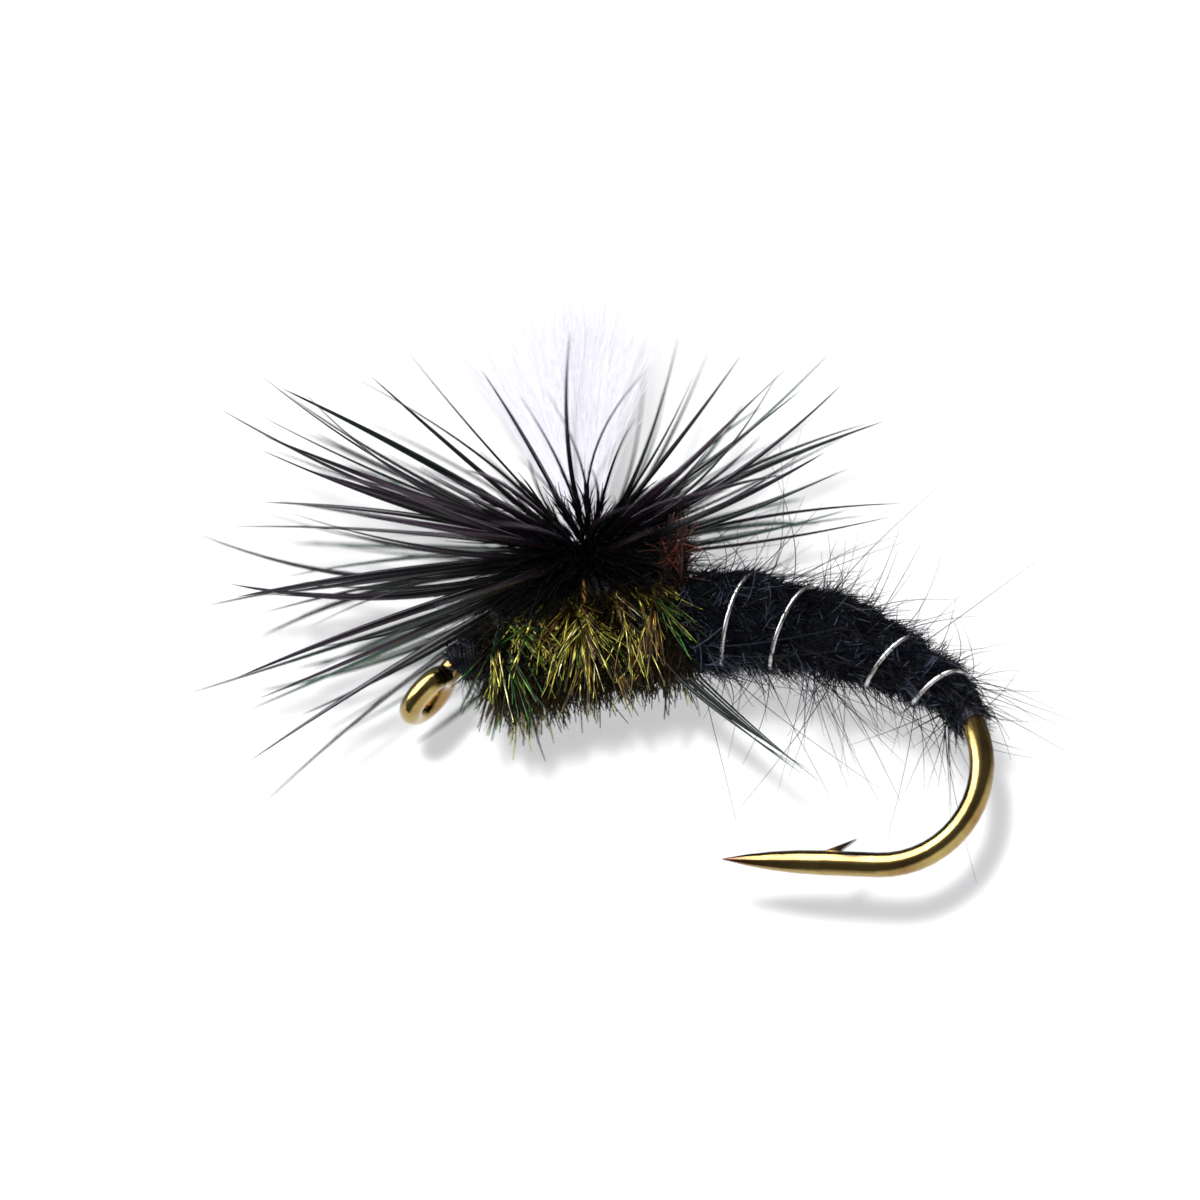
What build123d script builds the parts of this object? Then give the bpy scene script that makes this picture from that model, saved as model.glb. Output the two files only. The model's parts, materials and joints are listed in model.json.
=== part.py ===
"""Parachute emerger dry fly on a curved, down-eyed, barbed hook.

Frame, in millimetres: the origin is the centre of the hook eye. +X runs back along the shank to the
bend, +Z up the wing post, and the fly is symmetric about the XZ plane but for its windings.
Each piece is a closed solid of its own, written to parts/NAME.step.
"""

import os
from math import cos, pi, radians, sin

from build123d import *

# Hook wire: straight front, gently curved shank, round bend, straight leg and ground point
WIRE_R = 0.25
SHANK_Z = 0.55
SHANK_STRAIGHT_END = 4.2
SHANK_ARC_R = 8.7
SHANK_ARC_DEG = 44
BEND_R = 1.96
BEND_DEG = 149.5
LEG_STRAIGHT = 1.10
POINT_LENGTH = 2.04
POINT_TIP_R = 0.012

# Cut-up barb: corners as (distance along the leg, height above the leg's centre line)
HOOK_BARB_TIP = (0.46, 0.50)
HOOK_BARB_HEEL = (0.80, 0.21)
HOOK_BARB_TOE = (1.14, 0.21)
HOOK_BARB_THICKNESS = 0.13

# Hook eye: a ring of thinner wire that droops below the line of the shank
EYE_DROOP = 38
EYE_RING_R = 0.49
EYE_WIRE_R = 0.23
EYE_BORE_R = 0.28
EYE_SLIT = 0.04
EYE_SLIT_ANGLE = 42
NECK_BEND_R = 0.45

# Tying thread. The head starts beside the eye ring, HEAD_START along the neck from the eye's centre.
THREAD_GAP = 0.005
THREAD_LAYER = 0.05
THREAD_PITCH = 0.08
THREAD_RIDGE = 0.016
HEAD_START = 0.76
HEAD_FRONT_R = 0.33
HEAD_REAR_R = 0.45
HEAD_REAR_X = 1.30
HEAD_TURNS = 6

# Wing: one hank of yarn, its butt bound along the top of the shank and its column stood upright
POST_X = 3.65
YARN_R = 0.26
BUTT_R = 0.40
BUTT_RISE = 0.20
BUTT_REAR_X = 5.05
COLUMN_TOP = 2.32
WRAPS_BOTTOM = 1.42
WRAPS_TOP = 2.47
BINDING_FRONT_X = 3.94
BINDING_REAR_X = 5.13

# Wing tuft, free above the wraps; its rounded foot turns on the wing_lean axis
PIVOT_Z = 2.62
TUFT_FOOT_R = 0.25
TUFT_HEIGHT = 5.4
TUFT_HALF_WIDTH = 1.8
TUFT_HALF_DEPTH = 0.95
TUFT_LEAN = 5
TUFT_TOP_FILLET = 0.35
TUFT_SECTIONS = (0, 0.12, 0.35, 0.62, 0.86, 1)

# Hackle feather, wound round the foot of the post
TURNS = 4
TURN_PITCH = 0.13
FIRST_TURN_Z = 1.93
STEM_R = 0.055
STEM_TURN_R = 0.40
STEM_BUTT_Z = 1.12
STEM_BUTT_POINTS = 4
STEM_BUTT_TURN = -0.30
BARBS_PER_TURN = 24
BARB_SECTIONS = 3
BARB_ROOT_R = 0.05
BARB_TIP_R = 0.012
BARB_FRONT_LENGTH = 8.1
BARB_REAR_LENGTH = 6.0
BARB_LIFT = 10
BARB_LIFT_STEP = 12
BARB_LIFT_WAVE = 2
BARB_TILT = 4
BARB_PITCH = 4
BARB_NEAR_SHARE = 0.3
BARB_CURL = 8

# Loose fibres that hang below the joint of thorax and abdomen
STRAY_COUNT = 3
STRAY_LENGTH = 3.2
STRAY_R = 0.045
STRAY_CURL = 20
STRAY_START = Vector(5.62, -0.50, -1.05)
STRAY_STEP = Vector(0.12, 0.25, -0.10)
STRAY_SLOPE = 0.12

# Thorax: peacock herl from behind the head to the front of the abdomen
HERL_FRONT_X = 1.36
HERL_REAR_X = 5.40
HERL_LOBES = 6
HERL_AXIS_Z = 0.15
HERL_MID_R = 1.46
HERL_END_R = 1.28
HERL_LOBE_RISE = 0.12
QUILL_R = 0.05
QUILL_PITCH = 0.80
QUILL_FRONT_R = 0.40
QUILL_REAR_R = 0.74
QUILL_FIRST_TURN = -2.1
QUILL_LAST_TURN = 2.2

# Trimmed ends of the herl, which stand between thorax and abdomen
TAG_COUNT = 4
TAG_FOOT = (5.50, 1.02)
TAG_SPACING = 0.16
TAG_LEAN = 0.20
TAG_LENGTH = 0.85
TAG_R = 0.045

# Abdomen: dubbed fur, thick in front and slim at the bend, with a spiral of fine wire over it.
# Places along it are distances behind the neck of the hook.
ABDOMEN_FRONT = 4.75
ABDOMEN_REAR = 10.86
ABDOMEN_FRONT_R = 0.90
ABDOMEN_TAPER = 0.55
ABDOMEN_TAPER_POWER = 1.4
ABDOMEN_FRONT_FILLET = 0.3
ABDOMEN_STATIONS = 10
UNDERBODY_REAR = 10.98
RIB_R = 0.05
RIB_PITCH = 1.095
RIB_NEAR_SIDE = 5.62
RIB_FRONT = 5.20
RIB_REAR = 10.71

# Clearance left between neighbouring pieces, and points of a spline for each turn of a winding
GAP = 0.015
POINTS_PER_TURN = 12


def save(piece, name):
    """Labels a finished piece and writes it as its own STEP file."""
    piece.label = name
    export_step(piece, f"parts/{name}.step")


def start_plane(wire):
    """The plane square to a wire at its start."""
    return Plane(origin=wire @ 0, z_dir=wire % 0)


# ---------------------------------------------------------------- centre lines

droop = radians(EYE_DROOP)
neck_rise = NECK_BEND_R * (1 - cos(droop))
neck_reach = (SHANK_Z - neck_rise) / sin(droop)

with BuildLine(Plane.XZ) as neck_line:
    neck_foot = Line(
        (EYE_RING_R * cos(droop), EYE_RING_R * sin(droop)),
        (neck_reach * cos(droop), neck_reach * sin(droop)),
    )
    JernArc(neck_foot @ 1, neck_foot % 1, NECK_BEND_R, -EYE_DROOP)

neck = neck_line.wires()[0]
shank_front_x = (neck @ 1).X

with BuildLine(Plane.XZ) as shank_line:
    shank_front = Line((shank_front_x, SHANK_Z), (SHANK_STRAIGHT_END, SHANK_Z))
    shank_arc = JernArc(shank_front @ 1, shank_front % 1, SHANK_ARC_R, -SHANK_ARC_DEG)
    bend_arc = JernArc(shank_arc @ 1, shank_arc % 1, BEND_R, -BEND_DEG)
    PolarLine(bend_arc @ 1, LEG_STRAIGHT, direction=bend_arc % 1)

centre_line = shank_line.wires()[0]
leg_dir = centre_line % 1
leg_up = Vector(leg_dir.Z, 0, -leg_dir.X)


def on_shank(s):
    """The point, tangent and upward normal of the centre line, s millimetres behind the neck."""
    point = centre_line.position_at(s, position_mode=PositionMode.LENGTH)
    tangent = centre_line.tangent_at(s, position_mode=PositionMode.LENGTH)
    return point, tangent, Vector(-tangent.Z, 0, tangent.X)


def section_plane(s):
    """A plane square to the centre line, s millimetres behind the neck; its Y runs up."""
    point, tangent, _ = on_shank(s)
    return Plane(origin=point, x_dir=(0, 1, 0), z_dir=tangent)


def shank_stretch(s_from, s_to):
    """The stretch of the centre line between two distances behind the neck."""
    return centre_line.trim(s_from / centre_line.length, s_to / centre_line.length)


# ------------------------------------------------------------------------ hook


def on_leg(along, above):
    """A corner of the hook's barb, in the XZ plane."""
    corner = bend_arc @ 1 + leg_dir * along + leg_up * above
    return corner.X, corner.Z


eye_plane = Plane(origin=(0, 0, 0), x_dir=(cos(droop), 0, sin(droop)), z_dir=(sin(droop), 0, -cos(droop)))
slit_place = Location((0, 0, 0), (0, 0, EYE_SLIT_ANGLE)) * Location((EYE_RING_R, 0, 0))

with BuildPart() as hook:
    with BuildSketch(start_plane(neck)):
        Circle(EYE_WIRE_R)
    with BuildSketch(start_plane(centre_line)):
        Circle(WIRE_R)
    sweep(path=neck, multisection=True)
    with BuildSketch(start_plane(centre_line)):
        Circle(WIRE_R)
    sweep(path=centre_line)
    with BuildSketch(Plane(origin=centre_line @ 1, x_dir=leg_dir, z_dir=(0, 1, 0))):
        with BuildLine():
            Line((0, 0), (0, WIRE_R))
            TangentArc((0, WIRE_R), (POINT_LENGTH, POINT_TIP_R), tangent=(1, 0))
            Line((POINT_LENGTH, POINT_TIP_R), (POINT_LENGTH, 0))
            Line((POINT_LENGTH, 0), (0, 0))
        make_face()
    revolve(axis=Axis(centre_line @ 1, leg_dir))
    with BuildSketch(Plane.XZ):
        with BuildLine():
            Polyline(on_leg(*HOOK_BARB_TIP), on_leg(*HOOK_BARB_HEEL), on_leg(*HOOK_BARB_TOE), close=True)
        make_face()
    extrude(amount=HOOK_BARB_THICKNESS / 2, both=True)
    with Locations(eye_plane):
        Torus(EYE_RING_R, EYE_WIRE_R)
        Cylinder(EYE_BORE_R, 3 * EYE_WIRE_R, mode=Mode.SUBTRACT)
    with Locations(eye_plane * slit_place):
        Box(3 * EYE_WIRE_R, EYE_SLIT, 3 * EYE_WIRE_R, mode=Mode.SUBTRACT)

# --------------------------------------------------------------- tying thread

core_r = WIRE_R + THREAD_GAP + THREAD_LAYER
over_core_r = core_r + THREAD_GAP
underbody_front = HEAD_REAR_X + GAP - shank_front_x


def ribbed_edge(start, end, turns):
    """The edge of a thread winding: one small arc for each turn of thread, bulging to the left."""
    step = (end - start) / turns
    ridge = Vector(-step.Y, step.X).normalized() * THREAD_RIDGE
    for turn in range(turns):
        first = start + step * turn
        ThreePointArc(first, first + step / 2 + ridge, first + step)


with BuildPart() as thread_underbody:
    with BuildSketch(section_plane(underbody_front)):
        Circle(core_r)
        Circle(WIRE_R + THREAD_GAP, mode=Mode.SUBTRACT)
    sweep(path=shank_stretch(underbody_front, UNDERBODY_REAR))

head_path = neck.trim((HEAD_START - EYE_RING_R) / neck.length, 1)
head_bore_z = SHANK_Z + WIRE_R + THREAD_GAP
head_front_top = Vector(shank_front_x, SHANK_Z + HEAD_FRONT_R)
head_rear_top = Vector(HEAD_REAR_X, SHANK_Z + HEAD_REAR_R)

with BuildPart() as thread_head:
    with BuildSketch(Plane.XZ):
        with BuildLine():
            Line((shank_front_x, head_bore_z), head_front_top)
            ribbed_edge(head_front_top, head_rear_top, HEAD_TURNS)
            Line(head_rear_top, (HEAD_REAR_X, head_bore_z))
            Line((HEAD_REAR_X, head_bore_z), (shank_front_x, head_bore_z))
        make_face()
    revolve(axis=Axis((0, 0, SHANK_Z), (1, 0, 0)))
    with BuildSketch(start_plane(head_path)):
        Circle(HEAD_FRONT_R)
        Circle(WIRE_R + THREAD_GAP, mode=Mode.SUBTRACT)
    sweep(path=head_path)

binding_front = BINDING_FRONT_X - shank_front_x
binding_path = shank_stretch(binding_front, BINDING_REAR_X - shank_front_x)

with BuildPart() as thread_butt_binding:
    with BuildSketch(section_plane(binding_front)):
        Circle(over_core_r + THREAD_LAYER)
        with Locations((0, BUTT_RISE)):
            Circle(BUTT_R + THREAD_GAP + THREAD_LAYER)
        make_hull()
    sweep(path=binding_path)
    with BuildSketch(section_plane(binding_front)):
        Circle(over_core_r)
        with Locations((0, BUTT_RISE)):
            Circle(BUTT_R + THREAD_GAP)
    sweep(path=binding_path, mode=Mode.SUBTRACT)

wraps_bore_x = POST_X + YARN_R + THREAD_GAP
wraps_outside_x = POST_X + YARN_R + THREAD_LAYER

with BuildPart() as thread_post_wraps:
    with BuildSketch(Plane.XZ):
        with BuildLine():
            Line((wraps_bore_x, WRAPS_TOP), (wraps_bore_x, WRAPS_BOTTOM))
            Line((wraps_bore_x, WRAPS_BOTTOM), (wraps_outside_x, WRAPS_BOTTOM))
            ribbed_edge(
                Vector(wraps_outside_x, WRAPS_TOP),
                Vector(wraps_outside_x, WRAPS_BOTTOM),
                round((WRAPS_TOP - WRAPS_BOTTOM) / THREAD_PITCH),
            )
            Line((wraps_outside_x, WRAPS_TOP), (wraps_bore_x, WRAPS_TOP))
        make_face()
    revolve(axis=Axis((POST_X, 0, 0), (0, 0, 1)))

# ------------------------------------------------------------------------ wing

with BuildPart() as wing_yarn:
    butt_path = shank_stretch(POST_X - shank_front_x, BUTT_REAR_X - shank_front_x)
    with BuildSketch(section_plane(POST_X - shank_front_x)):
        with Locations((0, BUTT_RISE)):
            Circle(BUTT_R)
    sweep(path=butt_path)
    with BuildSketch(Plane.XY.offset(SHANK_Z + BUTT_RISE)):
        with Locations((POST_X, 0)):
            Circle(YARN_R)
    extrude(amount=COLUMN_TOP - SHANK_Z - BUTT_RISE)
    bore_path = shank_stretch(underbody_front, ABDOMEN_FRONT)
    with BuildSketch(start_plane(bore_path)):
        Circle(over_core_r)
    sweep(path=bore_path, mode=Mode.SUBTRACT)


def tuft_plane(height):
    """A level plane of the tuft, its centre carried rearward by the lean."""
    return Plane(origin=(POST_X + height * sin(radians(TUFT_LEAN)), 0, PIVOT_Z + height))


with BuildPart() as wing_tuft:
    for share in TUFT_SECTIONS:
        spread = share**0.7 * (1 - 0.3 * share**6)
        with BuildSketch(tuft_plane(share * TUFT_HEIGHT)):
            Ellipse(
                TUFT_FOOT_R + (TUFT_HALF_WIDTH - TUFT_FOOT_R) * spread,
                TUFT_FOOT_R + (TUFT_HALF_DEPTH - TUFT_FOOT_R) * spread,
            )
    loft()
    fillet(wing_tuft.faces().sort_by(Axis.Z)[-1].edges(), TUFT_TOP_FILLET)
    with Locations((POST_X, 0, PIVOT_Z)):
        Sphere(TUFT_FOOT_R)

# ---------------------------------------------------------------------- hackle


def post_point(radius, turn, height):
    """A point round the post axis; turn 0 faces the bend and a quarter turn is +Y."""
    return Vector(POST_X + radius * cos(2 * pi * turn), radius * sin(2 * pi * turn), height)


butt_step = (FIRST_TURN_Z - STEM_BUTT_Z) / (STEM_BUTT_POINTS + 0.5)
butt_points = [
    post_point(STEM_TURN_R, STEM_BUTT_TURN, STEM_BUTT_Z + butt_step * step)
    for step in range(STEM_BUTT_POINTS)
]
turn_points = [
    post_point(STEM_TURN_R, STEM_BUTT_TURN + turn, FIRST_TURN_Z + TURN_PITCH * turn)
    for turn in [step / POINTS_PER_TURN for step in range(1, TURNS * POINTS_PER_TURN)]
]

with BuildPart() as hackle_stem:
    with BuildLine() as stem_line:
        Spline(*butt_points, *turn_points)
    with BuildSketch(start_plane(stem_line.wires()[0])):
        Circle(STEM_R)
    sweep(path=stem_line.wires()[0])


def curved_fibre(root, direction, curl_toward, length, curl_deg, root_r):
    """Adds one tapered fibre that curves by curl_deg, as a ruled loft, to the part being built."""
    curl_radius = length / radians(curl_deg)
    sections = []
    for number in range(BARB_SECTIONS + 1):
        share = number / BARB_SECTIONS
        turned = radians(curl_deg) * share
        along = direction * (curl_radius * sin(turned))
        across = curl_toward * (curl_radius * (1 - cos(turned)))
        heading = direction * cos(turned) + curl_toward * sin(turned)
        with BuildSketch(Plane(origin=root + along + across, z_dir=heading)) as section:
            Circle(root_r + (BARB_TIP_R - root_r) * share)
        sections.append(section.sketch)
    loft(sections=sections, ruled=True)


def hackle_barbs(turn):
    """The barbs that stand out from one turn of the stem. They stand highest at the rear and the +Y side."""
    with BuildPart() as barbs:
        for number in range(BARBS_PER_TURN):
            angle = 2 * pi * (number + turn / 2) / BARBS_PER_TURN
            toward_bend = (1 + cos(angle)) / 2
            length = BARB_FRONT_LENGTH + (BARB_REAR_LENGTH - BARB_FRONT_LENGTH) * toward_bend
            nearness = max(0, -sin(angle))
            spread = BARB_LIFT_STEP * (turn - (TURNS - 1) / 2) * (1 - BARB_NEAR_SHARE * nearness)
            slant = BARB_TILT * sin(angle) + BARB_PITCH * cos(angle) + BARB_LIFT_WAVE * sin(5 * angle)
            lift = radians(BARB_LIFT + slant + spread)
            height = FIRST_TURN_Z + TURN_PITCH * (turn + number / BARBS_PER_TURN)
            curved_fibre(
                root=post_point(STEM_TURN_R + STEM_R + BARB_ROOT_R + GAP, angle / (2 * pi), height),
                direction=Vector(cos(lift) * cos(angle), cos(lift) * sin(angle), sin(lift)),
                curl_toward=Vector(-sin(lift) * cos(angle), -sin(lift) * sin(angle), cos(lift)),
                length=length,
                curl_deg=BARB_CURL,
                root_r=BARB_ROOT_R,
            )
    return barbs.part


with BuildPart() as stray_barbs:
    for number in range(STRAY_COUNT):
        side = number - (STRAY_COUNT - 1) / 2
        curved_fibre(
            root=STRAY_START + STRAY_STEP * side,
            direction=Vector(1, STRAY_SLOPE * side, -1).normalized(),
            curl_toward=Vector(-1, 0, -1).normalized(),
            length=STRAY_LENGTH,
            curl_deg=STRAY_CURL,
            root_r=STRAY_R,
        )

# ---------------------------------------------------------------------- thorax


def quill_point(turn):
    """A point of the wound herl quill. Turns 0 and 1 cross the shank on either side of the post."""
    blend = min(1, max(0, turn))
    radius = QUILL_FRONT_R + (QUILL_REAR_R - QUILL_FRONT_R) * blend * blend * (3 - 2 * blend)
    x = POST_X + QUILL_PITCH * (turn - 0.5)
    return Vector(x, -radius * sin(2 * pi * turn), SHANK_Z + radius * cos(2 * pi * turn))


quill_steps = round((QUILL_LAST_TURN - QUILL_FIRST_TURN) * POINTS_PER_TURN)
quill_points = [quill_point(QUILL_FIRST_TURN + step / POINTS_PER_TURN) for step in range(quill_steps + 1)]

with BuildPart() as herl_quill:
    with BuildLine() as quill_line:
        Spline(*quill_points)
    with BuildSketch(start_plane(quill_line.wires()[0])):
        Circle(QUILL_R)
    sweep(path=quill_line.wires()[0])


def flue_edge(x, rise=0.0):
    """A point on the outline of the herl envelope, in the XZ plane."""
    share = (x - HERL_FRONT_X) / (HERL_REAR_X - HERL_FRONT_X)
    return x, HERL_AXIS_Z + HERL_END_R + (HERL_MID_R - HERL_END_R) * sin(pi * share) + rise


lobe = (HERL_REAR_X - HERL_FRONT_X) / HERL_LOBES

with BuildPart() as herl_flue:
    with BuildSketch(Plane.XZ):
        with BuildLine():
            Line((HERL_FRONT_X, HERL_AXIS_Z), flue_edge(HERL_FRONT_X))
            for number in range(HERL_LOBES):
                left = HERL_FRONT_X + number * lobe
                ThreePointArc(flue_edge(left), flue_edge(left + lobe / 2, HERL_LOBE_RISE), flue_edge(left + lobe))
            Line(flue_edge(HERL_REAR_X), (HERL_REAR_X, HERL_AXIS_Z))
            Line((HERL_REAR_X, HERL_AXIS_Z), (HERL_FRONT_X, HERL_AXIS_Z))
        make_face()
    revolve(axis=Axis((0, 0, HERL_AXIS_Z), (1, 0, 0)))
    with BuildSketch(Plane.YZ.offset(HERL_FRONT_X)):
        with Locations((0, SHANK_Z)):
            Circle(QUILL_REAR_R + QUILL_R + GAP)
    extrude(amount=HERL_REAR_X - HERL_FRONT_X, mode=Mode.SUBTRACT)
    with BuildSketch(Plane.XY.offset(SHANK_Z)):
        with Locations((POST_X, 0)):
            Circle(STEM_TURN_R + STEM_R + GAP)
    extrude(amount=HERL_AXIS_Z + 2 * HERL_MID_R - SHANK_Z, mode=Mode.SUBTRACT)

with BuildPart() as herl_tags:
    for number in range(TAG_COUNT):
        side = (number - (TAG_COUNT - 1) / 2) * TAG_SPACING
        foot = Vector(TAG_FOOT[0], side, TAG_FOOT[1])
        with BuildSketch(Plane(origin=foot, z_dir=(TAG_LEAN + 0.2 * side, side, 1))):
            Circle(TAG_R)
        extrude(amount=TAG_LENGTH - abs(side) / 2)

# --------------------------------------------------------------------- abdomen


def abdomen_radius(s):
    """Radius of the dubbed fur, s millimetres behind the neck."""
    share = max(0, (s - ABDOMEN_FRONT) / (ABDOMEN_REAR - ABDOMEN_FRONT))
    return ABDOMEN_FRONT_R - ABDOMEN_TAPER * share**ABDOMEN_TAPER_POWER


with BuildPart() as abdomen_dubbing:
    for station in range(ABDOMEN_STATIONS + 1):
        s = ABDOMEN_FRONT + (ABDOMEN_REAR - ABDOMEN_FRONT) * station / ABDOMEN_STATIONS
        with BuildSketch(section_plane(s)):
            Circle(abdomen_radius(s))
    loft()
    fillet(abdomen_dubbing.faces().sort_by(Axis.X)[0].edges(), ABDOMEN_FRONT_FILLET)
    core_path = shank_stretch(ABDOMEN_FRONT - WIRE_R, ABDOMEN_REAR + WIRE_R)
    with BuildSketch(start_plane(core_path)):
        Circle(over_core_r)
    sweep(path=core_path, mode=Mode.SUBTRACT)


def rib_point(s):
    """A point of the rib wire, which climbs the near side of the abdomen as it runs rearward."""
    point, _, up = on_shank(s)
    angle = 2 * pi * (s - RIB_NEAR_SIDE) / RIB_PITCH
    radius = abdomen_radius(s) + RIB_R + GAP
    return point + Vector(0, -radius * cos(angle), 0) + up * (radius * sin(angle))


rib_steps = round((RIB_REAR - RIB_FRONT) / RIB_PITCH * POINTS_PER_TURN)
rib_points = [rib_point(RIB_FRONT + RIB_PITCH * step / POINTS_PER_TURN) for step in range(rib_steps)]

with BuildPart() as rib_wire:
    with BuildLine() as rib_line:
        Spline(*rib_points)
    with BuildSketch(start_plane(rib_line.wires()[0])):
        Circle(RIB_R)
    sweep(path=rib_line.wires()[0])

# ---------------------------------------------------------------------- export

os.makedirs("parts", exist_ok=True)
save(hook.part, "hook")
save(thread_underbody.part, "thread_underbody")
save(thread_head.part, "thread_head")
save(thread_butt_binding.part, "thread_butt_binding")
save(thread_post_wraps.part, "thread_post_wraps")
save(wing_yarn.part, "wing_yarn")
save(wing_tuft.part, "wing_tuft")
save(hackle_stem.part, "hackle_stem")
for turn in range(TURNS):
    save(hackle_barbs(turn), f"hackle_barbs_{turn + 1}")
save(stray_barbs.part, "stray_barbs")
save(herl_quill.part, "herl_quill")
save(herl_flue.part, "herl_flue")
save(herl_tags.part, "herl_tags")
save(abdomen_dubbing.part, "abdomen_dubbing")
save(rib_wire.part, "rib_wire")
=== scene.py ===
import json
import math

import bpy
import numpy as np
from mathutils import Matrix, Vector

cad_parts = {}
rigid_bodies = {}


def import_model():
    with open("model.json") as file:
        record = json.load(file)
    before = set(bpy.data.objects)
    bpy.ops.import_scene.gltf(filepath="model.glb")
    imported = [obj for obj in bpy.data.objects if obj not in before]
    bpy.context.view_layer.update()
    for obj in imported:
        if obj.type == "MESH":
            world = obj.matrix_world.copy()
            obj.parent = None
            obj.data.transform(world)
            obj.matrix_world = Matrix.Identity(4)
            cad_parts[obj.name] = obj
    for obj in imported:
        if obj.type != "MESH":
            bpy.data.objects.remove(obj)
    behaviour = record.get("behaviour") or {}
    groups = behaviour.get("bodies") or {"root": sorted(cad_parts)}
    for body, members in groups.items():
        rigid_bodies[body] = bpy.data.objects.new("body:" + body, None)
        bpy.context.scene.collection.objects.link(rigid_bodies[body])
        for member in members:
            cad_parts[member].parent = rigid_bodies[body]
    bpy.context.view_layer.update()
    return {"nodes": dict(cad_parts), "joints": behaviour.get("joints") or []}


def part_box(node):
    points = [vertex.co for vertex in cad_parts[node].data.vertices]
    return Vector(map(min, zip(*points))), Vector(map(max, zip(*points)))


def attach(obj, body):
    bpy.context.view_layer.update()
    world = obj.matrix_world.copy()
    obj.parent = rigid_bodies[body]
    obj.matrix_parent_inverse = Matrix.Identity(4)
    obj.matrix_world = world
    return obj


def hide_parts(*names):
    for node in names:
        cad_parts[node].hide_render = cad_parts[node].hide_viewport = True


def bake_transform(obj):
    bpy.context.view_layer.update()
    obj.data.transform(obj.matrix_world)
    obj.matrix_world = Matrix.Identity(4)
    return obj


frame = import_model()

MM = 0.001
UV_NAME = "OFBake"
HUES = 32

WING = frame["joints"][0]
BODY = WING["parent"]
POST_X = WING["pos_m"][0] / MM
PIVOT_Z = WING["pos_m"][2] / MM

# Centre line of the hook: drooping neck, straight front, gently curved shank, round bend.
# The leg and point run on from the bend, and the barb's tip is given along and inward from there.
FRONT_X = 0.859
SHANK_Z = 0.55
DROOP = math.radians(38)
NECK_R = 0.45
STRAIGHT = 3.341
SHANK_ARC_R = 8.7
SHANK_ARC = math.radians(44)
BEND_R = 1.96
BEND = math.radians(149.5)
LEG_AND_POINT = 3.14
HOOK_BARB_TIP = (0.46, 0.50)

# Layout of the bake UVs: a strand fills this share of its hue column, and almost all of v
COLUMN_START = 0.15
COLUMN_FILL = 0.7
V_START = 0.02
V_FILL = 0.96


def box_mm(node):
    """Lowest and highest corner of a CAD node, in millimetres."""
    low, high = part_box(node)
    return np.array(low) / MM, np.array(high) / MM


# ------------------------------------------------------------------ geometry


def unit(v):
    """Vectors scaled to length one, along the last axis."""
    return v / np.maximum(np.linalg.norm(v, axis=-1, keepdims=True), 1e-9)


def shank(s):
    """Centre, tangent and upward normal of the hook wire, s millimetres behind the neck."""
    s = np.asarray(s, float)
    neck = np.clip(-s / NECK_R, 0, DROOP)
    first = np.clip((s - STRAIGHT) / SHANK_ARC_R, 0, SHANK_ARC)
    second = np.clip((s - STRAIGHT - SHANK_ARC_R * SHANK_ARC) / BEND_R, 0, BEND)
    turned = first + second - neck
    x = FRONT_X + np.clip(s, 0, STRAIGHT) + SHANK_ARC_R * np.sin(first) - NECK_R * np.sin(neck)
    x = x + BEND_R * (np.sin(first + second) - np.sin(first))
    z = SHANK_Z - SHANK_ARC_R * (1 - np.cos(first)) - NECK_R * (1 - np.cos(neck))
    z = z - BEND_R * (np.cos(first) - np.cos(first + second))
    zero = np.zeros_like(x)
    centre = np.stack([x, zero, z], -1)
    tangent = np.stack([np.cos(turned), zero, -np.sin(turned)], -1)
    up = np.stack([np.sin(turned), zero, np.cos(turned)], -1)
    return centre, tangent, up


def around(s, radius, angle):
    """Points on a tube round the shank; angle 0 is up and a quarter turn is the near side, -Y."""
    centre, _, up = shank(s)
    near = np.array([0.0, -1.0, 0.0])
    outward = np.cos(angle)[..., None] * up + np.sin(angle)[..., None] * near
    return centre + radius[..., None] * outward


def arcs(root, direction, length, bend, points):
    """Curved strands: from root along direction, each pulled sideways by its bend vector."""
    t = np.linspace(0, 1, points)[None, :, None]
    reach = length[:, None, None]
    return root[:, None, :] + direction[:, None, :] * reach * t + bend[:, None, :] * reach * t * t


def build(name, verts, quads, uvs, material, body):
    """One mesh piece from arrays, in millimetres, with its bake UVs, riding on a CAD body."""
    mesh = bpy.data.meshes.new(name)
    mesh.vertices.add(len(verts))
    mesh.vertices.foreach_set("co", (verts * MM).astype(np.float32).ravel())
    mesh.loops.add(quads.size)
    mesh.loops.foreach_set("vertex_index", quads.astype(np.int32).ravel())
    mesh.polygons.add(len(quads))
    mesh.polygons.foreach_set("loop_start", np.arange(len(quads), dtype=np.int32) * 4)
    mesh.polygons.foreach_set("use_smooth", np.ones(len(quads), dtype=bool))
    layer = mesh.uv_layers.new(name=UV_NAME)
    layer.uv.foreach_set("vector", uvs.astype(np.float32).ravel())
    mesh.update(calc_edges=True)
    mesh.materials.append(material)
    piece = bpy.data.objects.new(name, mesh)
    bpy.context.scene.collection.objects.link(piece)
    if body:
        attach(piece, body)
    return piece


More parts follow.
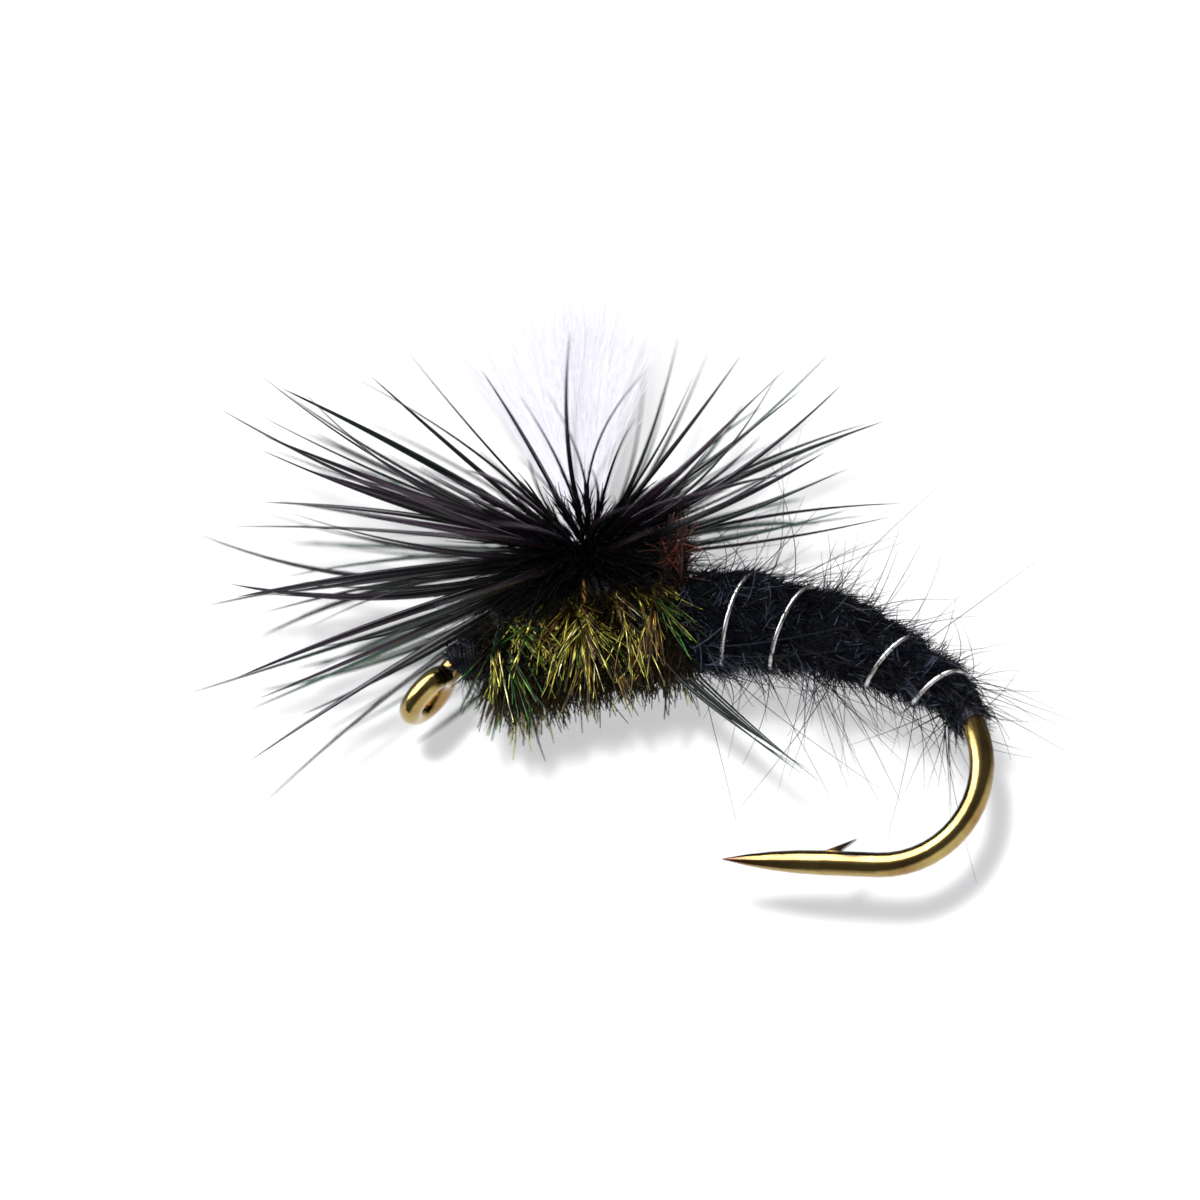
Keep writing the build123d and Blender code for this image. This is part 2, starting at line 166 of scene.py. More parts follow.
def strands(name, paths, radii, hue, material, slot, body=BODY, flat=1.0, across=None, sides=3):
    """Many thin tubes as one piece. paths is strand by point by xyz, radii is strand by point.

    The bake UV puts each strand in the column of its hue, and its root-to-tip length along v.
    flat squeezes the tube along its across direction, which makes a blade of it."""
    count, points = paths.shape[:2]
    tangent = unit(np.gradient(paths, axis=1))
    if across is None:
        across = np.tile([0.31, 0.22, 0.93], (count, 1))
    side = unit(np.cross(tangent, across[:, None, :]))
    thick = np.cross(side, tangent)
    angle = 2 * np.pi * np.arange(sides) / sides
    ring = (
        side[:, :, None, :] * np.cos(angle)[:, None]
        + thick[:, :, None, :] * np.sin(angle)[:, None] * flat
    )
    verts = paths[:, :, None, :] + radii[:, :, None, None] * ring
    i, j, k = np.meshgrid(np.arange(count), np.arange(points - 1), np.arange(sides), indexing="ij")
    row = (i * points + j) * sides
    after = (k + 1) % sides
    quads = np.stack([row + k, row + after, row + sides + after, row + sides + k], -1)
    column = np.floor(np.clip(hue, 0, 0.999) * HUES)[i]
    left = (column + COLUMN_START + COLUMN_FILL * k / sides) / HUES
    right = (column + COLUMN_START + COLUMN_FILL * (k + 1) / sides) / HUES
    low = V_START + V_FILL * j / (points - 1)
    high = V_START + V_FILL * (j + 1) / (points - 1)
    uvs = np.stack([left, low, right, low, right, high, left, high], -1)
    verts = verts.reshape(-1, 3)
    return build(name, verts, quads.reshape(-1, 4), uvs.reshape(-1, 2), material, body)


def taper(count, points, root, tip, power=1.0):
    """Radii that shrink from root to tip; a power above one keeps the strand full for longer."""
    t = np.linspace(0, 1, points)
    shape = tip + (root - tip) * (1 - t**power)
    return np.tile(shape, (count, 1))


def directions(turn, lift):
    """Unit vectors from an angle about Z (0 faces the bend) and a lift above level, in radians."""
    level = np.cos(lift)
    return np.stack([level * np.cos(turn), level * np.sin(turn), np.sin(lift)], -1)


# ----------------------------------------------------------------- materials


class Shader:
    """A small helper round one node material."""

    def __init__(self, name):
        self.material = bpy.data.materials.new(name)
        self.material.use_nodes = True
        self.tree = self.material.node_tree
        self.surface = self.tree.nodes["Principled BSDF"]

    def node(self, kind, **settings):
        """A new node of one kind, with its settings."""
        made = self.tree.nodes.new(kind)
        for key, value in settings.items():
            setattr(made, key, value)
        return made

    def link(self, source, target):
        """Joins an output socket to an input socket."""
        self.tree.links.new(source, target)

    def ramp(self, source, stops):
        """A value turned into colour by (place, colour) stops."""
        made = self.node("ShaderNodeValToRGB")
        elements = made.color_ramp.elements
        while len(elements) < len(stops):
            elements.new(0.5)
        for element, (place, colour) in zip(elements, stops):
            element.position = place
            element.color = (*colour, 1)
        self.link(source, made.inputs["Fac"])
        return made.outputs["Color"]

    def mix(self, kind, factor, first, second):
        """Two colours blended by a factor; each of the three is a socket or a constant."""
        made = self.node("ShaderNodeMix", data_type="RGBA", blend_type=kind)
        for value, place in ((factor, 0), (first, 6), (second, 7)):
            if isinstance(value, bpy.types.NodeSocket):
                self.link(value, made.inputs[place])
            else:
                made.inputs[place].default_value = value if place == 0 else (*value, 1)
        return made.outputs[2]

    def noise(self, scale, detail, vector=None):
        """Noise in object space, or over a vector of its own."""
        made = self.node("ShaderNodeTexNoise")
        made.inputs["Scale"].default_value = scale
        made.inputs["Detail"].default_value = detail
        self.link(vector or self.node("ShaderNodeTexCoord").outputs["Object"], made.inputs["Vector"])
        return made.outputs["Fac"]

    def bump(self, height, distance, strength):
        """Relief of the surface; distance is in metres."""
        made = self.node("ShaderNodeBump")
        made.inputs["Strength"].default_value = strength
        made.inputs["Distance"].default_value = distance
        self.link(height, made.inputs["Height"])
        self.link(made.outputs["Normal"], self.surface.inputs["Normal"])

    def scale(self, source, low, high, start=0.0):
        """A value that runs from start to 1, stretched to run from low to high."""
        made = self.node("ShaderNodeMapRange")
        made.inputs["From Min"].default_value = start
        made.inputs["To Min"].default_value = low
        made.inputs["To Max"].default_value = high
        self.link(source, made.inputs["Value"])
        return made.outputs["Result"]

    def near(self, point, inner, outer):
        """One within inner millimetres of a point, fading to zero at outer."""
        gap = self.node("ShaderNodeVectorMath", operation="DISTANCE")
        gap.inputs[1].default_value = tuple(point * MM)
        self.link(self.node("ShaderNodeTexCoord").outputs["Object"], gap.inputs[0])
        made = self.node("ShaderNodeMapRange")
        made.inputs["From Min"].default_value = outer * MM
        made.inputs["From Max"].default_value = inner * MM
        self.link(gap.outputs["Value"], made.inputs["Value"])
        return made.outputs["Result"]

    def set(self, **values):
        """Inputs of the surface, named with underscores, from sockets, colours or numbers."""
        for key, value in values.items():
            socket = self.surface.inputs[key.replace("_", " ")]
            if isinstance(value, bpy.types.NodeSocket):
                self.link(value, socket)
            elif isinstance(value, tuple):
                socket.default_value = (*value, 1)
            else:
                socket.default_value = value


def fibre_material(name, hues, along, roughness, **extra):
    """Colour of a strand: hues over its hue column, multiplied by a ramp from root to tip."""
    shader = Shader(name)
    uv = shader.node("ShaderNodeUVMap", uv_map=UV_NAME)
    parts = shader.node("ShaderNodeSeparateXYZ")
    shader.link(uv.outputs["UV"], parts.inputs["Vector"])
    hue = shader.ramp(parts.outputs["X"], hues)
    length = shader.ramp(parts.outputs["Y"], along)
    colour = shader.mix("MULTIPLY", 1.0, hue, length)
    shader.set(Base_Color=colour, Roughness=roughness, **extra)
    return shader.material


def bronze_wire():
    """Bronzed hook wire: gold lacquer with darker patches, dark brown near the barb and at the tip."""
    shader = Shader("bronze_wire")
    patches = shader.noise(900, 4)
    fine = shader.noise(9000, 2)
    stops = [(0.30, (0.20, 0.10, 0.025)), (0.52, (0.34, 0.24, 0.07)), (0.75, (0.46, 0.38, 0.13))]
    colour = shader.ramp(patches, stops)
    colour = shader.mix("MULTIPLY", shader.scale(fine, 0.0, 0.6), colour, (0.50, 0.33, 0.20))
    leg, along, outward = shank(STRAIGHT + SHANK_ARC_R * SHANK_ARC + BEND_R * BEND)
    barb_tip = leg + along * HOOK_BARB_TIP[0] - outward * HOOK_BARB_TIP[1]
    colour = shader.mix("MIX", shader.near(barb_tip, 0.42, 0.58), colour, (0.035, 0.018, 0.010))
    tip = leg + along * LEG_AND_POINT
    colour = shader.mix("MIX", shader.near(tip, 0.1, 0.9), colour, (0.10, 0.03, 0.015))
    shader.set(Base_Color=colour, Metallic=1.0, Roughness=shader.scale(patches, 0.06, 0.16))
    shader.set(Coat_Weight=0.5, Coat_Roughness=0.06)
    shader.bump(fine, 0.000004, 0.35)
    return shader.material


def thread_material(name, colour, gloss, pitch):
    """Wound thread: fine ridges across the winding, painted darker in the grooves as painted shade,
    with a waxed sheen.
    """
    shader = Shader(name)
    wave = shader.node("ShaderNodeTexWave", wave_type="BANDS", bands_direction="X")
    wave.inputs["Scale"].default_value = 1 / (pitch * MM) / 20 * math.pi
    wave.inputs["Distortion"].default_value = 1.5
    wave.inputs["Detail"].default_value = 2
    shader.link(shader.node("ShaderNodeTexCoord").outputs["Object"], wave.inputs["Vector"])
    # painted shade: the troughs between the ridges are painted down to 0.4 of the thread's colour
    shade = shader.ramp(wave.outputs["Fac"], [(0.0, tuple(c * 0.4 for c in colour)), (1.0, colour)])
    shader.set(Base_Color=shade, Roughness=gloss)
    shader.bump(wave.outputs["Fac"], 0.00001, 0.6)
    return shader.material


def silver_wire():
    """Fine bright rib wire, a little tarnished."""
    shader = Shader("silver_wire")
    tarnish = shader.noise(2500, 3)
    colour = shader.ramp(tarnish, [(0.35, (0.36, 0.34, 0.31)), (0.65, (0.80, 0.80, 0.81))])
    shader.set(Base_Color=colour, Metallic=1.0, Roughness=shader.scale(tarnish, 0.22, 0.36))
    shader.bump(shader.noise(12000, 2), 0.000003, 0.3)
    return shader.material


def amber_quill():
    """Feather stem: a bare amber butt that goes black where the barbs start."""
    bare, barbed = 0.50, 0.60
    shader = Shader("amber_quill")
    streak = shader.noise(3000, 3)
    amber = shader.ramp(streak, [(0.3, (0.20, 0.075, 0.015)), (0.7, (0.62, 0.33, 0.09))])
    low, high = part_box("hackle_stem")
    place = shader.node("ShaderNodeMapRange")
    place.inputs["From Min"].default_value = low.z + bare * (high.z - low.z)
    place.inputs["From Max"].default_value = low.z + barbed * (high.z - low.z)
    parts = shader.node("ShaderNodeSeparateXYZ")
    shader.link(shader.node("ShaderNodeTexCoord").outputs["Object"], parts.inputs["Vector"])
    shader.link(parts.outputs["Z"], place.inputs["Value"])
    colour = shader.mix("MIX", place.outputs["Result"], amber, (0.012, 0.010, 0.011))
    shader.set(Base_Color=colour, Roughness=0.32, Subsurface_Weight=0.15)
    shader.surface.inputs["Subsurface Scale"].default_value = 0.0001
    shader.bump(streak, 0.000006, 0.5)
    return shader.material


def packed_fur():
    """The dull, felted ground of the dubbing."""
    shader = Shader("packed_fur")
    felt = shader.noise(7000, 4)
    colour = shader.ramp(felt, [(0.35, (0.001, 0.001, 0.0015)), (0.7, (0.005, 0.006, 0.009))])
    shader.set(Base_Color=colour, Roughness=0.95, Specular_IOR_Level=0.05)
    shader.bump(felt, 0.00004, 0.8)
    return shader.material


def herl_quill_material():
    """Dark olive quill under the flue, with fine cross streaks."""
    shader = Shader("herl_quill")
    streak = shader.noise(5000, 4)
    colour = shader.ramp(streak, [(0.3, (0.03, 0.02, 0.008)), (0.7, (0.14, 0.10, 0.03))])
    shader.set(Base_Color=colour, Roughness=0.45)
    shader.bump(streak, 0.000006, 0.5)
    return shader.material


def herl_material(name, hues, wake, base, tip):
    """Peacock flue: barbules dark up to the wake share, then painted glints in short bright lengths."""
    shader = Shader(name)
    uv = shader.node("ShaderNodeUVMap", uv_map=UV_NAME)
    parts = shader.node("ShaderNodeSeparateXYZ")
    shader.link(uv.outputs["UV"], parts.inputs["Vector"])
    stretch = shader.node("ShaderNodeMapping")
    stretch.inputs["Scale"].default_value = (HUES * 7.0, 3.5, 1)
    shader.link(uv.outputs["UV"], stretch.inputs["Vector"])
    # painted glints: noise along each barbule paints short lengths bright, up to 2.7 times white, in
    # place of highlights
    painted_glint = shader.noise(1.0, 1.0, stretch.outputs["Vector"])
    painted_glint_stops = [(0.47, (0.04, 0.03, 0.025)), (0.56, (0.9, 0.9, 0.9)), (0.62, (2.7, 2.7, 2.2))]
    painted_glint = shader.ramp(painted_glint, painted_glint_stops)
    hue = shader.ramp(parts.outputs["X"], hues)
    along = [(0.0, base), (wake, (0.9, 0.8, 0.7)), (0.8, (1, 1, 1)), (1.0, tip)]
    length = shader.ramp(parts.outputs["Y"], along)
    colour = shader.mix("MULTIPLY", 1.0, shader.mix("MULTIPLY", 1.0, hue, painted_glint), length)
    shader.set(Base_Color=colour, Roughness=0.28, Metallic=0.3, Specular_IOR_Level=0.4)
    return shader.material


def thin_shadow(material, share):
    """Lets a share of the light through, as translucent fibres do, so that the shadow stays faint."""
    nodes, links = material.node_tree.nodes, material.node_tree.links
    scale = nodes.new("ShaderNodeMath")
    scale.operation = "MULTIPLY"
    scale.inputs[1].default_value = share
    links.new(nodes.new("ShaderNodeLightPath").outputs["Is Shadow Ray"], scale.inputs[0])
    blend = nodes.new("ShaderNodeMixShader")
    links.new(scale.outputs[0], blend.inputs[0])
    links.new(nodes["Principled BSDF"].outputs[0], blend.inputs[1])
    links.new(nodes.new("ShaderNodeBsdfTransparent").outputs[0], blend.inputs[2])
    links.new(blend.outputs[0], nodes["Material Output"].inputs["Surface"])


BLACK_BARB = fibre_material(
    "black_barb",
    [
        (0.0, (0.012, 0.055, 0.026)),
        (0.35, (0.006, 0.014, 0.011)),
        (0.65, (0.009, 0.008, 0.012)),
        (1.0, (0.024, 0.010, 0.023)),
    ],
    [(0.0, (0.1, 0.1, 0.1)), (0.5, (0.4, 0.4, 0.4)), (1.0, (1.9, 1.9, 1.9))],
    0.24,
    Specular_IOR_Level=0.4,
)
BLACK_WEB = fibre_material(
    "black_web",
    [(0.0, (0.002, 0.003, 0.003)), (1.0, (0.005, 0.005, 0.006))],
    [(0.0, (0.5, 0.5, 0.5)), (1.0, (1.2, 1.2, 1.2))],
    0.6,
    Specular_IOR_Level=0.12,
)
# The last stops of the hue ramp paint a few hairs bluish grey: painted glints in the black fur.
BLACK_FUR = fibre_material(
    "black_fur",
    [
        (0.0, (0.001, 0.001, 0.0012)),
        (0.70, (0.002, 0.0025, 0.004)),
        (0.92, (0.012, 0.016, 0.028)),
        (1.0, (0.12, 0.14, 0.20)),
    ],
    [(0.0, (0.25, 0.25, 0.25)), (1.0, (1.4, 1.4, 1.4))],
    0.38,
    Specular_IOR_Level=0.10,
)
HERL_GOLD = herl_material(
    "herl_gold",
    [
        (0.0, (0.010, 0.007, 0.004)),
        (0.25, (0.06, 0.030, 0.010)),
        (0.40, (0.28, 0.15, 0.04)),
        (0.60, (0.42, 0.42, 0.05)),
        (0.85, (0.76, 0.76, 0.20)),
        (1.0, (0.98, 0.95, 0.55)),
    ],
    0.2,
    (0.12, 0.08, 0.06),
    (0.35, 0.50, 0.22),
)
HERL_GREEN = herl_material(
    "herl_green",
    [
        (0.0, (0.006, 0.03, 0.012)),
        (0.4, (0.012, 0.13, 0.020)),
        (0.8, (0.10, 0.20, 0.025)),
        (1.0, (0.40, 0.38, 0.06)),
    ],
    0.6,
    (0.05, 0.05, 0.04),
    (0.9, 1.2, 0.8),
)
HERL_DARK = fibre_material(
    "herl_dark",
    [(0.0, (0.004, 0.004, 0.003)), (0.6, (0.016, 0.011, 0.005)), (1.0, (0.05, 0.030, 0.010))],
    [(0.0, (0.5, 0.5, 0.5)), (1.0, (1.2, 1.2, 1.0))],
    0.5,
    Specular_IOR_Level=0.2,
)
RED_TAG = fibre_material(
    "red_tag",
    [(0.0, (0.010, 0.004, 0.004)), (0.7, (0.06, 0.015, 0.010)), (1.0, (0.26, 0.075, 0.035))],
    [(0.0, (0.4, 0.4, 0.4)), (1.0, (1.3, 1.3, 1.3))],
    0.4,
)
# The emission is painted light: the pale yarn glows a little, which lifts it close to the white of the
# sheet.
PALE_YARN = fibre_material(
    "pale_yarn",
    [(0.0, (0.70, 0.69, 0.76)), (0.5, (0.80, 0.79, 0.84)), (1.0, (0.90, 0.90, 0.92))],
    [(0.0, (0.80, 0.79, 0.84)), (0.3, (1.0, 1.0, 1.0)), (1.0, (1.0, 1.0, 1.0))],
    0.45,
    Emission_Color=(0.96, 0.95, 0.99),
    Emission_Strength=0.19,
)
thin_shadow(PALE_YARN, 0.7)
# Below the hinge the yarn is painted near black: painted shade where thread and hackle cover it, partly
# the stain of the black thread.
BOUND_YARN = fibre_material(
    "bound_yarn",
    [(0.0, (0.60, 0.59, 0.66)), (1.0, (0.80, 0.80, 0.82))],
    [(0.0, (0.05, 0.05, 0.05)), (0.75, (0.08, 0.08, 0.08)), (0.95, (1.0, 1.0, 1.0))],
    0.6,
)
WOUND_THREAD = fibre_material(
    "wound_thread",
    [(0.0, (0.002, 0.002, 0.002)), (0.7, (0.004, 0.004, 0.005)), (1.0, (0.012, 0.013, 0.018))],
    [(0.0, (0.9, 0.9, 0.9)), (1.0, (1.0, 1.0, 1.0))],
    0.32,
    Specular_IOR_Level=0.12,
)


# --------------------------------------------------------------- CAD pieces


def dress(node, material):
    """Gives a CAD node its Blender material."""
    part = frame["nodes"][node]
    part.data.materials.clear()
    part.data.materials.append(material)
    part.data.shade_smooth()


dress("hook", bronze_wire())
dress("rib_wire", silver_wire())
dress("hackle_stem", amber_quill())
dress("herl_quill", herl_quill_material())
dress("thread_underbody", thread_material("black_thread", (0.02, 0.02, 0.028), 0.4, 0.05))
dress("thread_butt_binding", thread_material("binding_thread", (0.02, 0.02, 0.028), 0.4, 0.06))
dress("thread_post_wraps", thread_material("post_thread", (0.018, 0.018, 0.025), 0.35, 0.06))


# -------------------------------------------------------------------- hackle

TURNS = 4
TURN_PITCH = 0.13
BARBS_PER_TURN = 36
FRONT_LENGTH = 8.1
FRONT_LENGTH_STEP = 0.45
REAR_LENGTH = 6.0
# How far the barbs crowd toward the front of the fly
FRONT_BIAS = 0.35
# Lift of the barbs in degrees: middle turn, step between turns, spread within one, extra at the rear
LIFT = 12.5
LIFT_STEP = 15.5
LIFT_SPREAD = 8.5
PITCH = 5.0
# On the near side the turns lie closer together and lower, on the far side they stand higher
NEAR_TURN = math.radians(-40)
NEAR_SHARE = 0.55
NEAR_DROP = 7.0
FAR_RISE = 7.0
# A barb leaves its root against its bend by this share, so that it comes back to its own line
COUNTER_BEND = 0.7
# Half-widths of a barb: at its root, short of its point and at its point
BLADE_ROOT = 0.078
BLADE_END = 0.010
BLADE_POINT = 0.002
BEARD_ROOT_R = 0.42


def hackle_lift(turn, number):
    """Degrees above level of the barbs of one turn: highest at the rear and the far side."""
    nearness = np.clip(np.cos(turn - NEAR_TURN), 0, 1)
    step = LIFT_STEP * (number - (TURNS + 1) / 2) * (1 - NEAR_SHARE * nearness)
    farness = np.clip(np.sin(turn), 0, 1)
    return LIFT + PITCH * np.cos(turn) - NEAR_DROP * nearness + FAR_RISE * farness + step


def hackle_paths(number, rng):
    """Angles and curved centre lines of the barbs of one turn of the feather."""
    count, points = BARBS_PER_TURN, 18
    low, high = box_mm("hackle_stem")
    stem_r = (high[0] - low[0]) / 2
    turn = 2 * np.pi * (np.arange(count) + rng.uniform(-0.45, 0.45, count)) / count
    turn = turn + FRONT_BIAS * np.sin(turn)
    lift = np.radians(hackle_lift(turn, number) + rng.uniform(-LIFT_SPREAD, LIFT_SPREAD, count))
    toward_bend = (1 + np.cos(turn)) / 2
    front_length = FRONT_LENGTH - FRONT_LENGTH_STEP * (number - 1)
    length = front_length + (REAR_LENGTH - front_length) * toward_bend
    length = length * rng.uniform(0.78, 1.04, count)
    height = high[2] - TURN_PITCH * (TURNS + 0.5 - number) + rng.uniform(-0.08, 0.08, count)
    root = np.stack([POST_X + stem_r * np.cos(turn), stem_r * np.sin(turn), height], -1)
    rise = 0.07 * np.sin(3 * turn + number) + rng.normal(0.03, 0.12, count)
    sway = 0.07 * np.sin(5 * turn + 2 * number) + rng.normal(0, 0.14, count)
    aim = directions(turn - COUNTER_BEND * sway, lift - COUNTER_BEND * rise)
    sideways = directions(turn + np.pi / 2, np.zeros(count))
    bend = rise[:, None] * np.array([0, 0, 1.0]) + sway[:, None] * sideways
    return turn, arcs(root, aim, length, bend, points)


def hackle_turn(number, turn, paths, rng):
    """The barbs of one turn of the feather: flat glossy blades with a fine point, wider in front."""
    count, points = paths.shape[:2]
    t = np.linspace(0, 1, points)
    belly = (1 - t**2.4) * (0.75 + 0.25 * np.sin(np.pi * t))
    width = BLADE_END + (BLADE_ROOT - BLADE_END) * belly
    width[-1] = BLADE_POINT
    frontness = np.clip(-np.cos(turn), 0, 1)
    radii = np.outer(rng.uniform(0.6, 1.15, count) * (1 + 0.25 * frontness), width)
    hue = np.clip((1 - np.sin(turn)) / 2 + rng.normal(0, 0.22, count), 0, 0.999)
    twist = directions(turn + np.pi / 2, rng.uniform(-1.2, 1.2, count))
    name = f"hackle_turn_{number}"
    blade = {"flat": 0.42, "across": twist, "sides": 6}
    piece = strands(name, paths, radii, hue, BLACK_BARB, "hackle_fibre", **blade)
    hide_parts(f"hackle_barbs_{number}")


def hackle_web(paths, rng):
    """The webby foot of every barb: fine barbules that lie close to it and knit into a dark core."""
    each, points = 22, 6
    owner = np.repeat(np.arange(len(paths)), each)
    count = len(owner)
    place = (rng.uniform(0.0, 0.22, count) * (paths.shape[1] - 1)).astype(int)
    root = paths[owner, place]
    along = unit(paths[owner, place + 1] - root)
    aim = unit(along + rng.normal(0, 0.10, (count, 3)))
    length = rng.uniform(0.4, 1.2, count)
    strand = arcs(root, aim, length, rng.normal(0, 0.06, (count, 3)), points)
    hue = rng.uniform(0.2, 0.7, count)
    radii = taper(count, points, 0.026, 0.005, 1.3)
    strands("hackle_web", strand, radii, hue, BLACK_WEB, "hackle_fibre")


def hackle_beard(rng):
    """Short web below the lowest turn, which hangs over the top and sides of the thorax."""
    count, points = 1500, 7
    _, high = box_mm("hackle_stem")
    turn = rng.uniform(0, 2 * np.pi, count)
    height = high[2] - TURN_PITCH * rng.uniform(2.0, 6.5, count)
    root = np.stack([POST_X + BEARD_ROOT_R * np.cos(turn), BEARD_ROOT_R * np.sin(turn), height], -1)
    frontness = np.clip(-np.cos(turn), 0, 1)
    lift = np.radians(rng.uniform(-32, 6, count) - 8 * frontness)
    aim = directions(turn + rng.normal(0, 0.2, count), lift)
    length = rng.uniform(0.7, 2.3, count) * (1 + 0.35 * frontness)
    sag = np.array([0, 0, -0.08])
    paths = arcs(root, aim, length, rng.normal(0, 0.10, (count, 3)) + sag, points)
    hue = rng.uniform(0, 1, count)
    radii = taper(count, points, 0.024, 0.005, 1.4)
    strands("hackle_beard", paths, radii, hue, BLACK_WEB, "hackle_fibre")


def hackle():
    """All turns of the feather, then the web that joins them."""
    every = []
    for number in range(1, TURNS + 1):
        rng = np.random.default_rng(40 + number)
        turn, paths = hackle_paths(number, rng)
        hackle_turn(number, turn, paths, rng)
        every.append(paths)
    hackle_web(np.concatenate(every), np.random.default_rng(45))
    hackle_beard(np.random.default_rng(46))


hackle()


def stray_barbs(rng):
    """A few long fibres that hang below the joint of thorax and abdomen and meet in one point."""
    low, high = box_mm("stray_barbs")
    count, points = 9, 16
    spread = rng.normal(0, 1, (count, 3)) * np.array([0.16, 0.10, 0.10])
    root = np.array([low[0] - 0.15, -0.5, high[2] + 0.15]) + spread
    goal = np.array([high[0], -0.5, low[2]]) + spread * 0.25
    reach = goal - root
    length = np.linalg.norm(reach, axis=1) * rng.uniform(0.72, 1.0, count)
    bend = np.array([0.03, 0, 0.08]) * rng.uniform(0.6, 1.2, (count, 1))
    paths = arcs(root, unit(reach), length, bend, points)
    radii = taper(count, points, 0.040, 0.005, 1.6)
    hue = rng.uniform(0.05, 0.4, count)
    piece = strands("stray_fibres", paths, radii, hue, BLACK_BARB, "hackle_fibre", flat=0.5, sides=6)
    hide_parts("stray_barbs")


stray_barbs(np.random.default_rng(51))


# ------------------------------------------------------------------- abdomen

# Distances behind the neck, and radii, of the dubbed body; the fur swells over the third rib turn
FUR_FRONT = 4.65
FUR_REAR = 10.94
FUR_FRONT_R = 0.84
FUR_REAR_R = 0.28
BURIED_TURN = 7.81
BURIED_SWELL = 0.28
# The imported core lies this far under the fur's own radius, and its ends close to CORE_END_R
CORE_DEPTH = 0.02
CORE_END_R = 0.28
# Hairs start at this share of the fur's radius
HAIR_ROOT = 0.92


def fur_radius(s, angle):
    """Radius of the dubbed body under its standing hairs; it swells over parts of the rib."""
    share = np.clip((s - FUR_FRONT) / (FUR_REAR - FUR_FRONT), 0, 1)
    patchy = 0.08 * np.sin(5.7 * s + 2 * angle) * np.sin(3 * angle + 1.3 * s)
    swell = (0.17 * np.cos(angle) ** 2 + patchy) * (1 - 0.6 * share)
    over_turn = np.exp(-(((s - BURIED_TURN) / 0.3) ** 2))
    buried = BURIED_SWELL * over_turn * np.clip(np.sin(angle), 0, 1)
    return FUR_FRONT_R - (FUR_FRONT_R - FUR_REAR_R) * share**1.3 + swell + buried


def fur_core(rng):
    """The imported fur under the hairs: a lumpy tube that closes on the shank at both ends."""
    rings, sides = 90, 48
    s = np.linspace(FUR_FRONT - 0.1, FUR_REAR, rings)
    angle = np.linspace(0, 2 * np.pi, sides, endpoint=False)
    closing = np.sqrt(np.clip(np.minimum((s - s[0]) / 0.35, (s[-1] - s) / 0.3), 0, 1))
    along, round_ = np.meshgrid(s, angle, indexing="ij")
    standing = fur_radius(along, round_) - CORE_DEPTH - CORE_END_R
    radius = CORE_END_R + standing * closing[:, None]
    verts = around(along, radius + rng.normal(0, 0.012, radius.shape), round_)
    i, k = np.meshgrid(np.arange(rings - 1), np.arange(sides), indexing="ij")
    after = (k + 1) % sides
    row, next_row = i * sides, (i + 1) * sides
    quads = np.stack([row + k, row + after, next_row + after, next_row + k], -1)
    low, high = i / (rings - 1), (i + 1) / (rings - 1)
    left, right = k / sides, (k + 1) / sides
    uvs = np.stack([left, low, right, low, right, high, left, high], -1)
    verts, quads, uvs = verts.reshape(-1, 3), quads.reshape(-1, 4), uvs.reshape(-1, 2)
    piece = build("abdomen_core", verts, quads, uvs, packed_fur(), BODY)
    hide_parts("abdomen_dubbing")


def fur_layer(name, rng, count, clumps, length, stand, curve, radius, points, hue_power):
    """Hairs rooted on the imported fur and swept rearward, each leaning with the others of its clump.

    stand is how steeply they rise, curve how much they bend; a higher hue_power makes more of them
    black."""
    clump = rng.integers(0, clumps, count)
    share = np.clip(rng.uniform(0, 1, clumps)[clump] + rng.normal(0, 0.012, count), 0, 1)
    s = FUR_FRONT + (FUR_REAR - FUR_FRONT) * share
    angle = rng.uniform(0, 2 * np.pi, clumps)[clump] + rng.normal(0, 0.10, count)
    _, tangent, _ = shank(s)
    root = around(s, fur_radius(s, angle) * HAIR_ROOT, angle)
    outward = unit(root - shank(s)[0])
    sideways = np.cross(tangent, outward)
    lean = rng.normal(0.75, 0.55, clumps)[clump] + rng.normal(0, 0.22, count)
    rise = np.abs(rng.normal(stand, stand * 0.45, clumps)[clump] + rng.normal(0, 0.12, count))
    across = rng.normal(0, 0.75, clumps)[clump] + rng.normal(0, 0.22, count)
    aim = unit(tangent * lean[:, None] + outward * rise[:, None] + sideways * across[:, None])
    reach = length * np.minimum(rng.lognormal(-0.1, 0.4, count), 1.15) * (1 - 0.5 * share)
    curl = sideways * rng.normal(0, curve, count)[:, None]
    curl = curl + tangent * rng.normal(0.12, curve, count)[:, None]
    curl = curl + outward * rng.normal(-0.12, curve, count)[:, None]
    paths = arcs(root, aim, reach, curl, points)
    hue = np.clip(rng.uniform(0, 1, clumps)[clump] ** hue_power + rng.normal(0, 0.12, count), 0, 1)
    radii = taper(count, points, radius, radius * 0.25, 1.5)
    strands(name, paths, radii, hue, BLACK_FUR, "dubbed_fur")


fur_core(np.random.default_rng(60))
fur_layer(
    "abdomen_underfur",
    np.random.default_rng(61),
    count=8000,
    clumps=2400,
    length=0.37,
    stand=0.34,
    curve=0.22,
    radius=0.015,
    points=5,
    hue_power=0.9,
)
fur_layer(
    "abdomen_hair",
    np.random.default_rng(62),
    count=2600,
    clumps=200,
    length=0.72,
    stand=0.45,
    curve=0.25,
    radius=0.013,
    points=7,
    hue_power=0.6,
)
fur_layer(
    "abdomen_guard_hair",
    np.random.default_rng(63),
    count=400,
    clumps=260,
    length=1.9,
    stand=0.9,
    curve=0.60,
    radius=0.012,
    points=14,
    hue_power=1.4,
)


# -------------------------------------------------------------------- thorax

HERL_FRONT = 1.30
HERL_REAR = 5.35
